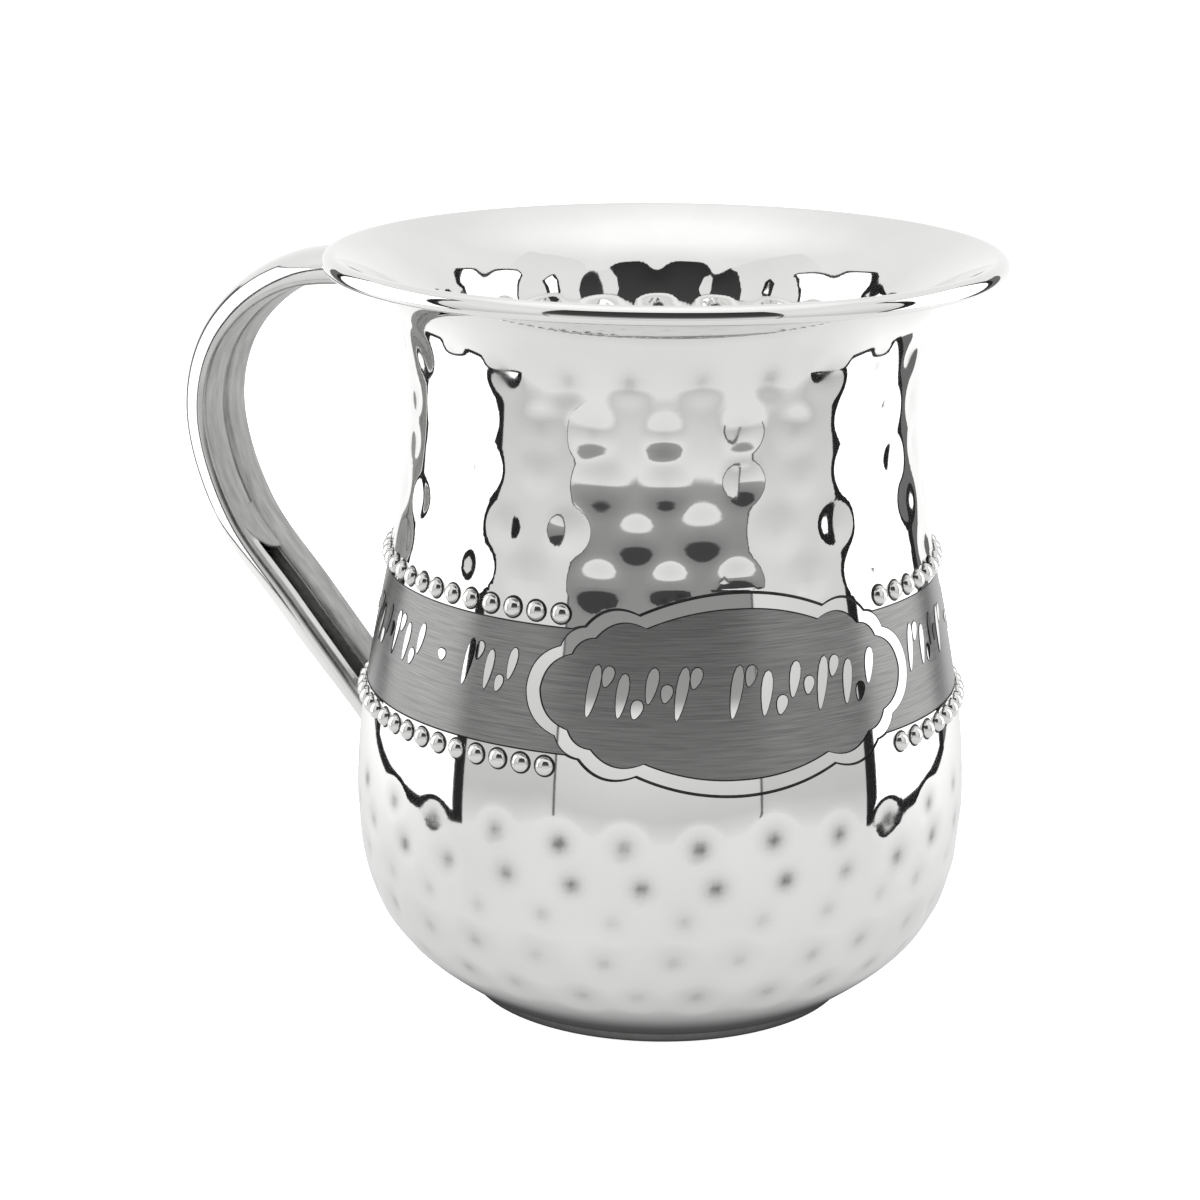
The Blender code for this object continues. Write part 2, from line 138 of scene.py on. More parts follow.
# Handle, the same sizes as the solid, with its reach drawn in a little to stay inside the box
HANDLE_WIDTH = 0.018
HANDLE_THICK = 0.0066
HANDLE_END_THICK = 0.0056
HANDLE_SHEET = 0.0011
HANDLE_CORNER = 0.0013
HANDLE_REACH = 0.04398
HANDLE_TOP_DROP = 0.0090
HANDLE_FOOT_HEIGHT = 0.0470
HANDLE_END_SHARE = 0.2
HANDLE_CROWN = 0.85
HANDLE_LOOP = [(0.575, 0.024), (0.897, 0.146), (1.0, 0.332), (0.872, 0.553), (0.579, 0.749)]
END_EMBED = 0.0016
END_EXTRA = 0.006
SEAM_GAP = 0.00010
SEAM_DIP = 0.00035
WELD_SINK = 0.0003
CHANNEL_TOP = 0.0800
CHANNEL_EDGE = 0.0032
TONGUE_TOP = 0.0850
TONGUE_TIP = 0.0765
TONGUE_WIDE = 0.0078
TONGUE_RISE = 0.00030
TONGUE_SINK = 0.00020
TONGUE_FLUSH = 0.00004
INNER_DULL = 0.25
CORNER_DULL = 0.4
CHANNEL_BLEND = 0.0012
CHANNEL_DULL = 0.3

# Fineness of the meshes
COLUMNS = 360
ZONE_LOW = 0.0535
ZONE_HIGH = 0.0890
OUTER_STEP = 0.0010
INNER_STEP = 0.0020
LINE_FINENESS = 2
GRID_CLEAR = 0.0003
EDGE_FADE = 0.0008
NORMAL_STEP = 0.00008
WELD_STEP = 2e-7
BEAD_SIDES = 20
HANDLE_ROWS = 220
HANDLE_STEPS = 900
HANDLE_SMOOTHING = 25
TONGUE_ROWS = 29
TONGUE_COLUMNS = 15

# Where the photograph was taken from, as seen from the cup
VIEW_ANGLE = math.radians(-70.0)
VIEW_DISTANCE = 0.5554
VIEW_HEIGHT = 0.2255
VIEW_PITCH = math.radians(15.291)
VIEW_YAW = math.radians(-1.185)
VIEW_ROLL = math.radians(0.317)
VIEW_LENS = 92.28

# Greys of the surroundings that the steel reflects, each at a distance or height in metres
# The reflected table's greys by distance from the foot, with a painted contact shadow round the foot
TABLE_GREY_AND_SHADOW = [(0.0, 0.03), (0.0365, 0.05), (0.041, 0.34), (0.047, 0.60)]
TABLE_GREY_AND_SHADOW += [(0.056, 0.73), (0.09, 0.82), (0.5, 0.88)]
# Painted light on the reflected table near the side panels, by sideways distance and by distance behind the
# cup
TABLE_SIDE_LIGHT = [(0.0, 0.0), (0.08, 0.0), (0.20, 0.30)]
TABLE_BACK = [(-0.3, 0.0), (-0.06, 0.0), (0.06, 1.0)]
ROOF = [(0.0, 1.15), (0.12, 1.13), (0.28, 0.98), (0.40, 0.90)]
BACK_WALL = [(0.0, 1.1), (0.15, 1.0), (0.30, 0.90)]
FRONT_AWAY = 0.27
WALL_TOP = 0.42
WINDOW = (-0.189, 0.182)
WINDOW_LOW = 0.020
FRONT_WALL = [(0.0, 0.82), (0.008, 0.74), (0.025, 0.60), (0.06, 0.67)]
FRONT_WALL += [(0.12, 0.79), (0.20, 0.88), (0.42, 0.84)]
FRONT_WINDOW = [(0.020, 0.64), (0.05, 0.74), (0.083, 0.86), (0.089, 0.36)]
FRONT_WINDOW += [(0.134, 0.25), (0.139, 0.06), (0.42, 0.03)]
SIDE_PANELS = {"left": (-0.21, -0.068, 0.120), "right": (0.21, -0.050, 0.110)}
FLOOR_GLOW = 0.8
PANEL_TOP = 0.27
PANEL_GLOW = 1.6
FRAME_FRONT = 0.018
FRAME_BACK = 0.026
FRAME_LOW = 0.008
TABLE_HALF = 4.0
FLOOR_DROP = 0.0001
TABLE_DROP = 0.00015
FRONT_SPREAD = 1.03
CARD_GAP = 0.001
WINDOW_FRAME = 0.003
WINDOW_FRAME_LOW = 0.004
WINDOW_FRAME_GLOW = 0.12
FRAME_SPREAD = 1.005
FRAME_RISE = 0.008
FRAME_GLOW = 0.02
GAP_SPREAD = 1.02
GAP_LENGTH = 0.09
GAP_TOP = 0.20
GAP_GLOW = 0.16
SOFTBOX_SPREAD = 3.0
SOFTBOX_HEIGHT = 0.5
SOFTBOX_SIZE = 0.5
SOFTBOX_ENERGY = 4.0
BACK_AWAY = 0.30
BACK_TOP = 0.30
ROOF_HALF = 0.40
ROOF_HEIGHT = 0.55
WORLD_GLOW = 1.08
WORLD_REFLECTED = 0.90


def bezier(points, share):
    """Points and tangents of a cubic curve of (radius, height) at an array of shares."""
    points = np.array(points)
    t = np.asarray(share)[:, None]
    rest = 1.0 - t
    place = rest**3 * points[0] + 3 * rest**2 * t * points[1] + 3 * rest * t**2 * points[2] + t**3 * points[3]
    sides = np.diff(points, axis=0)
    slope = rest**2 * sides[0] + 2 * rest * t * sides[1] + t**2 * sides[2]
    return place, slope / np.linalg.norm(slope, axis=1)[:, None]


def lip_join():
    """Where the outer side of the flare runs into the rolled lip."""
    back = math.sqrt(LIP_RADIUS**2 - (LIP_RADIUS - WALL) ** 2)
    inward = (-math.sin(LIP_SLOPE), math.cos(LIP_SLOPE))
    along = (math.cos(LIP_SLOPE), math.sin(LIP_SLOPE))
    return tuple(LIP_CENTRE[a] + (LIP_RADIUS - WALL) * inward[a] - back * along[a] for a in (0, 1))


def wall_table():
    """Height, radius and outward normal all along the outer side of the wall."""
    up = np.array((0.0, 1.0))
    start = np.array((FOOT_RADIUS + FOOT_CREASE, FOOT_HEIGHT))
    belly = np.array((BELLY_RADIUS, BELLY_HEIGHT))
    neck = np.array((NECK_RADIUS, NECK_HEIGHT))
    end = np.array(lip_join())
    foot_along = np.array((math.cos(FOOT_SLOPE), math.sin(FOOT_SLOPE)))
    lip_along = np.array((math.cos(LIP_SLOPE), math.sin(LIP_SLOPE)))
    curves = [
        (start, start + BOWL_START_PULL * foot_along, belly - BOWL_END_PULL * up, belly),
        (belly, belly + BELLY_PULL * up, neck - NECK_LOWER_PULL * up, neck),
        (neck, neck + NECK_UPPER_PULL * up, end - FLARE_PULL * lip_along, end),
    ]
    places, slopes = zip(*(bezier(curve, np.linspace(0.0, 1.0, 200)) for curve in curves))
    place = np.concatenate(places)
    slope = np.concatenate(slopes)
    return place[:, 1], place[:, 0], slope[:, 1], -slope[:, 0]


WALL_Z, WALL_R, WALL_NR, WALL_NZ = wall_table()


def wall_at(z):
    """Outer radius and outward normal of the plain wall at heights."""
    return tuple(np.interp(z, WALL_Z, column) for column in (WALL_R, WALL_NR, WALL_NZ))


def mark_list():
    """Every hammer mark as (angle, height, depth, radius, painted shade), a little uneven as struck by hand.
    """
    chance = np.random.default_rng(MARK_SEED)
    marks = []
    for rows, count in ((NECK_MARK_ROWS, NECK_MARKS_ROUND), (BELLY_MARK_ROWS, BELLY_MARKS_ROUND)):
        for height, depth, radius, phase, spot_shade in rows:
            for k in range(count):
                turn = VIEW_ANGLE + math.radians(phase) + (k + chance.normal(0.0, 0.06)) * 2 * math.pi / count
                up = height + chance.normal(0.0, 0.4) * MM
                deep = depth * MM * chance.uniform(0.72, 1.24)
                wide = radius * MM * chance.uniform(0.9, 1.1)
                marks.append((turn, up, deep, wide, spot_shade * chance.uniform(0.6, 1.2)))
    return marks


MARKS = mark_list()


def struck(angle, z):
    """How deep the hammer marks are at angles and heights of the wall, and how dark their painted reflection
    is.
    """
    angle, z = np.broadcast_arrays(np.asarray(angle, float), np.asarray(z, float))
    depth = np.zeros(angle.shape)
    dull_and_shade = np.zeros(angle.shape)
    radius = wall_at(z)[0]
    for turn, height, deep, wide, spot_shade in MARKS:
        near = np.abs(z - height) < wide
        if not near.any():
            continue
        across = ((angle[near] - turn + math.pi) % (2 * math.pi) - math.pi) * radius[near]
        slant = np.interp(height, WALL_Z, WALL_NR)
        up = (z[near] - height) / slant
        away = across**2 + up**2
        share = (1.0 - np.clip(away / wide**2, 0.0, 1.0)) ** 2
        depth[near] += deep * share
        # Painted dark reflection in the middle of each mark, in place of what the dent reflects
        dull_and_shade[near] += spot_shade * (0.35 * share**2 + 0.65 * np.exp(-away / MARK_SPOT**2))
    return depth, dull_and_shade


def arc_outline(inset, fineness):
    """The cartouche's scalloped outline as (along, up) from its centre, drawn in by an inset."""
    arcs = [
        ((0.0, 1.0), (0.463, 0.788), 0.051, 8),
        ((0.463, 0.788), (0.722, 0.653), 0.190, 7),
        ((0.722, 0.653), (0.842, 0.447), 0.160, 5),
        ((0.842, 0.447), (1.0, 0.0), 0.172, 8),
    ]
    along = CARTOUCHE_HALF_LENGTH - inset
    up = CARTOUCHE_HALF_HEIGHT - inset
    quarter = []
    for start, end, bulge, steps in arcs:
        first = np.array((start[0] * along, start[1] * up))
        chord = np.array((end[0] * along, end[1] * up)) - first
        length = np.hypot(*chord)
        outward = np.array((-chord[1], chord[0])) / length
        for i in range(steps * fineness):
            share = i / (steps * fineness)
            quarter.append(first + chord * share + outward * 4 * share * (1 - share) * bulge * length)
    right_up = quarter + [np.array((along, 0.0))]
    right = right_up + [np.array((p[0], -p[1])) for p in reversed(right_up[:-1])]
    left = [np.array((-p[0], p[1])) for p in reversed(right[1:-1])]
    return np.array(right + left)


def inside(points, polygon):
    """Which points lie inside a closed polygon."""
    result = np.zeros(len(points), bool)
    x, y = points[:, 0], points[:, 1]
    after = np.roll(polygon, -1, axis=0)
    for (x1, y1), (x2, y2) in zip(polygon, after):
        crosses = (y1 > y) != (y2 > y)
        if crosses.any():
            result[crosses] ^= x[crosses] < (x2 - x1) * (y[crosses] - y1) / (y2 - y1) + x1
    return result


def distance_to(points, polygon):
    """Each point's distance from a closed polygon's line."""
    best = np.full(len(points), 1.0)
    after = np.roll(polygon, -1, axis=0)
    for first, last in zip(polygon, after):
        side = last - first
        share = np.clip(((points - first) @ side) / max(side @ side, 1e-18), 0.0, 1.0)
        gap = points - first - share[:, None] * side
        best = np.minimum(best, np.hypot(gap[:, 0], gap[:, 1]))
    return best


BELT_RADIUS = float(wall_at(BELT_MIDDLE)[0])
SEAM_ANGLE = CARTOUCHE_ANGLE - math.pi


def plain_share(angle, z):
    """1 on the open wall and 0 on the belt and the cartouche, where the hammer marks stop."""
    angle, z = np.broadcast_arrays(np.asarray(angle, float), np.asarray(z, float))
    turn = (angle - CARTOUCHE_ANGLE + math.pi) % (2 * math.pi) - math.pi
    flat = np.column_stack((turn.ravel() * BELT_RADIUS, z.ravel() - BELT_MIDDLE))
    share = np.ones(len(flat))
    reach = np.array((CARTOUCHE_HALF_LENGTH, CARTOUCHE_HALF_HEIGHT)) + GROOVE_WIDE + 2 * EDGE_FADE
    near = (np.abs(flat) < reach).all(axis=1)
    edge = arc_outline(-GROOVE_WIDE, 1)
    gap = distance_to(flat[near], edge)
    gap[inside(flat[near], edge)] = 0.0
    share[near] = np.clip(gap / EDGE_FADE, 0.0, 1.0)
    belt = np.clip((np.abs(flat[:, 1]) - BELT_WIDTH / 2) / EDGE_FADE, 0.0, 1.0)
    share = np.minimum(share, belt)
    share = share * share * (3 - 2 * share)
    return share.reshape(angle.shape)


def wall_surface(angle, z, sunk=0.0):
    """Points of the outer wall with its hammer marks, sunk by a depth."""
    radius, out, up = wall_at(z)
    depth = struck(angle, z)[0] * plain_share(angle, z) + sunk
    r = radius - depth * out
    return np.stack((r * np.cos(angle), r * np.sin(angle), z - depth * up), axis=-1)


def wall_normals(angle, z):
    """Normals of the outer wall with its hammer marks."""
    turn = NORMAL_STEP / BELT_RADIUS
    around = wall_surface(angle + turn, z) - wall_surface(angle - turn, z)
    upward = wall_surface(angle, z + NORMAL_STEP) - wall_surface(angle, z - NORMAL_STEP)
    normal = np.cross(around, upward)
    return normal / np.linalg.norm(normal, axis=-1)[..., None]


def heights_between(low, high, step):
    """Heights from low to high whose points are evenly spaced along the wall."""
    z = np.linspace(low, high, 2000)
    r = wall_at(z)[0]
    way = np.concatenate(([0.0], np.cumsum(np.hypot(np.diff(r), np.diff(z)))))
    count = max(2, round(way[-1] / step) + 1)
    return np.interp(np.linspace(0.0, way[-1], count), way, z)


def arc(centre, radius, start, end, steps):
    """Points of a round stretch of a profile, between two angles in degrees."""
    turn = np.linspace(math.radians(start), math.radians(end), steps + 1)
    return [(centre[0] + radius * math.cos(a), centre[1] + radius * math.sin(a)) for a in turn]


def flat_rows(profile, angles):
    """Rows of points turned from a plain profile of (radius, height)."""
    profile = np.array(profile)
    r = profile[:, 0][:, None]
    z = np.broadcast_to(profile[:, 1][:, None], (len(profile), len(angles)))
    return np.stack((r * np.cos(angles), r * np.sin(angles), z), axis=-1)


def grid_normals(rows):
    """Normals of a closed grid of rows, by differences along and across."""
    around = np.roll(rows, -1, axis=1) - np.roll(rows, 1, axis=1)
    along = np.gradient(rows, axis=0)
    normal = np.cross(along, around)
    length = np.linalg.norm(normal, axis=-1)
    normal[length > 0] /= length[length > 0][:, None]
    return normal


def grid_faces(rows, columns, closed=True):
    """Corner numbers of a grid's four-sided faces, its rows running along the profile."""
    number = np.arange(rows * columns).reshape(rows, columns)
    after = np.roll(number, -1, axis=1)
    if not closed:
        number, after = number[:, :-1], after[:, :-1]
    return np.stack((number[:-1], after[:-1], after[1:], number[1:]), axis=-1).reshape(-1, 4)


def link(item):
    """Puts an object into the scene."""
    bpy.context.scene.collection.objects.link(item)
    return item


class Skin:
    """A mesh in the making: points, faces and the normal of every face corner."""

    def __init__(self):
        self.points = []
        self.faces = []
        self.normals = []
        self.values = []
        self.count = 0

    def add(self, points, faces, normals, values=0.0):
        """Adds points with one normal and value each, and faces that number them from 0."""
        self.points.append(np.asarray(points).reshape(-1, 3))
        self.values.append(np.broadcast_to(np.ravel(values), (len(self.points[-1]),)))
        normals = np.asarray(normals).reshape(-1, 3)
        for face in faces:
            self.faces.append([int(k) + self.count for k in face])
            self.normals.append(normals[list(face)])
        self.count += len(self.points[-1])

    def build(self, name):
        """The welded mesh as an object with its own normals."""
        points = np.concatenate(self.points)
        keys = np.round(points / WELD_STEP).astype(np.int64)
        _, chosen, merged = np.unique(keys, axis=0, return_index=True, return_inverse=True)
        merged = merged.ravel()
        faces, corners = [], []
        for face, normal in zip(self.faces, self.normals):
            numbers = [int(merged[k]) for k in face]
            kept = [k for k in range(len(numbers)) if numbers[k] != numbers[k - 1]]
            if len(kept) >= 3:
                faces.append([numbers[k] for k in kept])
                corners.extend(normal[kept])
        mesh = bpy.data.meshes.new(name)
        mesh.from_pydata(points[chosen].tolist(), [], faces)
        mesh.shade_smooth()
        mesh.normals_split_custom_set([tuple(n) for n in corners])
        mesh.update()
        values = np.concatenate(self.values)[chosen]
        if values.any():
            # Layer of painted shade on the shell, and of the duller finish on the handle
            mesh.attributes.new("dull_and_shade", "FLOAT", "POINT").data.foreach_set("value", values)
        return link(bpy.data.objects.new(name, mesh))


def stroke(centre, half_length, half_width, lean, margin=0.0, points=14):
    """A drop-shaped stroke as (along, up), from its centre, half sizes and lean."""
    turn = np.linspace(0.0, 2 * math.pi, points, endpoint=False)
    up = (half_length + margin) * np.cos(turn)
    across = (half_width * (1.0 + 0.35 * np.cos(turn)) + margin) * np.sin(turn)
    c, s = math.cos(lean), math.sin(lean)
    return np.column_stack((centre[0] + across * c + up * s, centre[1] - across * s + up * c))


def along_belt(angle):
    """The distance along the belt from the cartouche, of an angle in degrees to the viewer's right."""
    return (math.radians(angle) + VIEW_ANGLE - CARTOUCHE_ANGLE) * BELT_RADIUS


def stroke_row(stretch, row):
    """A row of strokes that are no letters, between two angles as seen to the viewer's right."""
    low, high, pitch, width = row
    start, end = (along_belt(angle) for angle in stretch)
    count = max(1, round((end - start) / pitch))
    middle, tall = (low + high) / 2 - BELT_MIDDLE, high - low
    drops = []
    for i in range(count):
        share, lift, lean = STROKE_KINDS[i % len(STROKE_KINDS)]
        centre = (start + (i + 0.5) * (end - start) / count, middle + lift * tall)
        drops.append((centre, share * tall, width, math.radians(lean)))
    return drops


def all_strokes():
    """Strokes of the cartouche, then of the belt all round, with round dots between the groups."""
    drops = []
    for stretches, row in ((CARTOUCHE_STROKES, CARTOUCHE_ROW), (BELT_STROKES, BELT_ROW)):
        for stretch in stretches:
            drops += stroke_row(stretch, row)
    drops += [((along_belt(dot), DOT_LIFT), DOT_RADIUS, DOT_RADIUS, 0.0) for dot in DOTS]
    return drops


def zone_mesh(loops, levels):
    """Flat points and triangles of the belt's zone, as (along, up) from the cartouche, cut along lines."""
    half = math.pi * BELT_RADIUS
    columns = np.linspace(-half, half, COLUMNS + 1)
    rows = heights_between(ZONE_LOW, ZONE_HIGH, OUTER_STEP) - BELT_MIDDLE
    points, edges = [], []
    for loop in loops:
        first = len(points)
        points.extend(map(tuple, loop))
        edges.extend((first + i, first + (i + 1) % len(loop)) for i in range(len(loop)))
    grid = np.array([(x, y) for y in rows for x in columns])
    free = np.ones(len(grid), bool)
    for x, y in points:
        free &= (np.abs(grid[:, 0] - x) >= GRID_CLEAR) | (np.abs(grid[:, 1] - y) >= GRID_CLEAR)
    signed = [sign * level for level in levels for sign in (1, -1)]
    for level in signed:
        free &= np.abs(grid[:, 1] - level) > GRID_CLEAR
    free |= (grid[:, 1] == rows[0]) | (grid[:, 1] == rows[-1])
    points.extend(map(tuple, grid[free]))
    for level in signed:
        first = len(points)
        points.extend((x, level) for x in columns)
        edges.extend((first + i, first + i + 1) for i in range(COLUMNS))
    scaled = [Vector((x / MM, y / MM)) for x, y in points]
    result = delaunay_2d_cdt(scaled, edges, [], 0, 1e-5)
    flat = np.array([(v.x, v.y) for v in result[0]]) * MM
    return flat, np.array([face for face in result[2] if len(face) == 3])


def zone_kinds(middle, lines, strokes, rims, belt_groove):
    """What each triangle of the zone is: 0 for polished wall, 1 for etched field, 2 for groove painted dark
    as edge shade.
    """
    within = {name: inside(middle, line) for name, line in lines.items()}
    up = np.abs(middle[:, 1])
    open_belt = (up < BELT_WIDTH / 2) & ~within["border"]
    open_wall = (up >= BELT_WIDTH / 2) & ~within["border"]
    kinds = np.zeros(len(middle), int)
    kinds[open_belt | within["field"]] = 1
    kinds[open_belt & (up > belt_groove)] = 2
    kinds[within["field"] & ~within["field_groove"]] = 2
    kinds[open_belt & within["belt_end"]] = 2
    kinds[open_wall & within["border_groove"]] = 2
    for rim, drop in zip(rims, strokes):
        near = np.flatnonzero(((middle > rim.min(axis=0)) & (middle < rim.max(axis=0))).all(axis=1))
        kinds[near[inside(middle[near], rim)]] = 2
        kinds[near[inside(middle[near], drop)]] = 0
    return kinds


def add_steps(triangles, kinds, layers, skins):
    """Narrow steps along the lines where two kinds meet at different depths."""
    owner = {}
    for face, kind in zip(triangles, kinds):
        for a, b in ((face[0], face[1]), (face[1], face[2]), (face[2], face[0])):
            owner[(int(a), int(b))] = int(kind)
    for (a, b), kind in owner.items():
        other = owner.get((b, a))
        if other is None or kind <= other:
            continue
        quad = [layers[kind][b], layers[kind][a], layers[other][a], layers[other][b]]
        side = np.cross(quad[1] - quad[0], quad[2] - quad[1])
        length = np.linalg.norm(side)
        if length > 0:
            skins[kind].add(quad, [(0, 1, 2, 3)], [side / length] * 4)


def belt_zone(shell, field, groove):
    """The stretch of wall with the belt and the cartouche, cut along their outlines into three skins."""
    insets = {
        "border_groove": -GROOVE_WIDE,
        "border": 0.0,
        "field": CARTOUCHE_BORDER,
        "belt_end": -GROOVE_THIN,
        "field_groove": CARTOUCHE_BORDER + GROOVE_THIN,
    }
    lines = {name: arc_outline(inset, LINE_FINENESS) for name, inset in insets.items()}
    drops = all_strokes()
    strokes = [stroke(*drop) for drop in drops]
    rims = [stroke(*drop, margin=STROKE_GROOVE) for drop in drops]
    levels = [BELT_WIDTH / 2, BELT_WIDTH / 2 - GROOVE_THIN]
    flat, triangles = zone_mesh([*lines.values(), *strokes, *rims], levels)
    kinds = zone_kinds(flat[triangles].mean(axis=1), lines, strokes, rims, levels[1])

    angle = CARTOUCHE_ANGLE + flat[:, 0] / BELT_RADIUS
    z = BELT_MIDDLE + flat[:, 1]
    normals = wall_normals(angle, z)
    layers = [wall_surface(angle, z, depth) for depth in (0.0, ETCH_DEPTH, GROOVE_DEPTH)]
    skins = (shell, field, groove)
    for kind, skin in enumerate(skins):
        chosen = triangles[kinds == kind]
        used = np.unique(chosen)
        number = np.zeros(len(flat), int)
        number[used] = np.arange(len(used))
        # The shell carries the painted dark reflections of the hammer marks
        dull_and_shade = struck(angle[used], z[used])[1] * plain_share(angle[used], z[used]) if kind == 0 else 0.0
        skin.add(layers[kind][used], number[chosen], normals[used], dull_and_shade)
    add_steps(triangles, kinds, layers, skins)


def shell_grid(shell):
    """The rest of the shell: inner side, lip, outer wall above and below the zone, foot and underside."""
    angles = SEAM_ANGLE + np.linspace(0.0, 2 * math.pi, COLUMNS, endpoint=False)
    corner = FOOT_RADIUS - WALL
    floor = [(r * corner, WALL) for r in (0.0005, 0.15, 0.3, 0.45, 0.6, 0.75, 0.88)]
    floor += arc((corner - FLOOR_FILLET, WALL + FLOOR_FILLET), FLOOR_FILLET, -90, 0, 5)
    floor += arc((corner + FLOOR_STEP, FOOT_HEIGHT + WALL - FLOOR_STEP_DROP), FLOOR_STEP, 180, 110, 4)
    inner_z = heights_between(FOOT_HEIGHT, WALL_Z[-1], INNER_STEP)
    radius, out, up = wall_at(inner_z)
    depth = WALL + INNER_SHARE * struck(angles[None, :], inner_z[:, None])[0]
    r = radius[:, None] - depth * out[:, None]
    z = inner_z[:, None] - depth * up[:, None]
    inner = np.stack((r * np.cos(angles), r * np.sin(angles), z), axis=-1)
    join = lip_join()
    lip_end = math.degrees(math.atan2(join[1] - LIP_CENTRE[1], join[0] - LIP_CENTRE[0])) - 360.0
    lip = arc(LIP_CENTRE, LIP_RADIUS, 90 + math.degrees(LIP_SLOPE), lip_end, 24)[:-1]
    top = np.concatenate((flat_rows(floor, angles), inner[1:], flat_rows(lip, angles)))

    upper_z = heights_between(ZONE_HIGH, WALL_Z[-1], OUTER_STEP)[::-1]
    upper = wall_surface(angles[None, :], upper_z[:, None])
    lower_z = heights_between(FOOT_HEIGHT, ZONE_LOW, OUTER_STEP)[::-1]
    lower = wall_surface(angles[None, :], lower_z[:, None])
    shoulder = arc((FOOT_RADIUS + FOOT_SHOULDER, FOOT_HEIGHT - FOOT_SHOULDER), FOOT_SHOULDER, 90, 180, 4)
    foot = shoulder + arc((FOOT_RADIUS - FOOT_EDGE, FOOT_EDGE), FOOT_EDGE, 0, -90, 5)
    foot += [(r * FOOT_RADIUS, 0.0) for r in (0.95, 0.8, 0.6, 0.4, 0.2, 0.0005)]
    plain_top, foot_shade = np.zeros(top.shape[:2]), np.full((len(foot), COLUMNS), FOOT_SHADE)
    # Painted shade, at full strength, in the crease above the foot band
    foot_shade[: len(shoulder)] = 1.0
    # Painted dark reflections in the hammer marks above and below the belt
    upper_shade = struck(angles[None, :], upper_z[:, None])[1]
    lower_shade = struck(angles[None, :], lower_z[:, None])[1]
    for rows, dull_and_shade in (
        (np.concatenate((top, upper)), np.concatenate((plain_top, upper_shade))),
        (np.concatenate((lower, flat_rows(foot, angles))), np.concatenate((lower_shade, foot_shade))),
    ):
        shell.add(rows, grid_faces(rows.shape[0], COLUMNS)[:, ::-1], grid_normals(rows), dull_and_shade)


def spun(profile, turns):
    """A profile of (out, up) spun round the up axis, ring after ring."""
    out, up = (np.broadcast_to(profile[:, a][:, None], (len(profile), len(turns))) for a in (0, 1))
    return np.stack((out * np.cos(turns), out * np.sin(turns), up), axis=-1).reshape(-1, 3)


def bead_skin(beads, groove):
    """Both rows of round beads beside the belt, each with a line of painted shade round its foot."""
    outline = arc_outline(0.0, LINE_FINENESS)
    outline = outline[(outline[:, 0] >= 0) & (outline[:, 1] >= 0)]
    tilt = np.linspace(math.radians(-6.0), math.pi / 2, 10)
    dome = np.column_stack((BEAD_RADIUS * np.cos(tilt), BEAD_RISE * np.sin(tilt)))
    slope = np.gradient(dome, axis=0)[:-1]
    lean = np.column_stack((slope[:, 1], -slope[:, 0])) / np.hypot(*slope.T)[:, None]
    profile = dome[:-1]
    turns = np.linspace(0.0, 2 * math.pi, BEAD_SIDES, endpoint=False)
    ring = np.vstack((spun(profile, turns), (0.0, 0.0, BEAD_RISE)))
    normal = np.vstack((spun(lean, turns), (0.0, 0.0, 1.0)))
    last = (len(profile) - 1) * BEAD_SIDES
    faces = grid_faces(len(profile), BEAD_SIDES).tolist()
    faces += [(last + k, last + (k + 1) % BEAD_SIDES, last + BEAD_SIDES) for k in range(BEAD_SIDES)]
    shade_ring = spun(np.array(BEAD_FOOT_SHADE), turns)
    shade_ring_faces = grid_faces(len(BEAD_FOOT_SHADE), BEAD_SIDES)
    rows = ((BELT_HIGH + UPPER_BEAD_LIFT, UPPER_BEADS), (BELT_LOW - LOWER_BEAD_DROP, LOWER_BEADS))
    for height, count in rows:
        radius, out, up = (float(v) for v in wall_at(height))
        rise = abs(height - BELT_MIDDLE) - BEAD_RADIUS
        reach = max((x for x, y in outline if y >= rise), default=0.0)
        for i in range(count):
            angle = CARTOUCHE_ANGLE + (i + 0.5) * 2 * math.pi / count
            along = abs((angle - CARTOUCHE_ANGLE + math.pi) % (2 * math.pi) - math.pi) * BELT_RADIUS
            if along < reach + BEAD_CLEAR:
                continue
            outward = Vector((out * math.cos(angle), out * math.sin(angle), up))
            place = Matrix.Translation((radius * math.cos(angle), radius * math.sin(angle), height))
            place = np.array(place @ outward.to_track_quat("Z", "X").to_matrix().to_4x4())
            turn, centre = place[:3, :3], place[:3, 3]
            beads.add(ring @ turn.T + centre, faces, normal @ turn.T)
            # A flat dark ring of painted shade round the bead's foot
            groove.add(shade_ring @ turn.T + centre, shade_ring_faces, np.broadcast_to(turn[:, 2], (len(shade_ring), 3)))


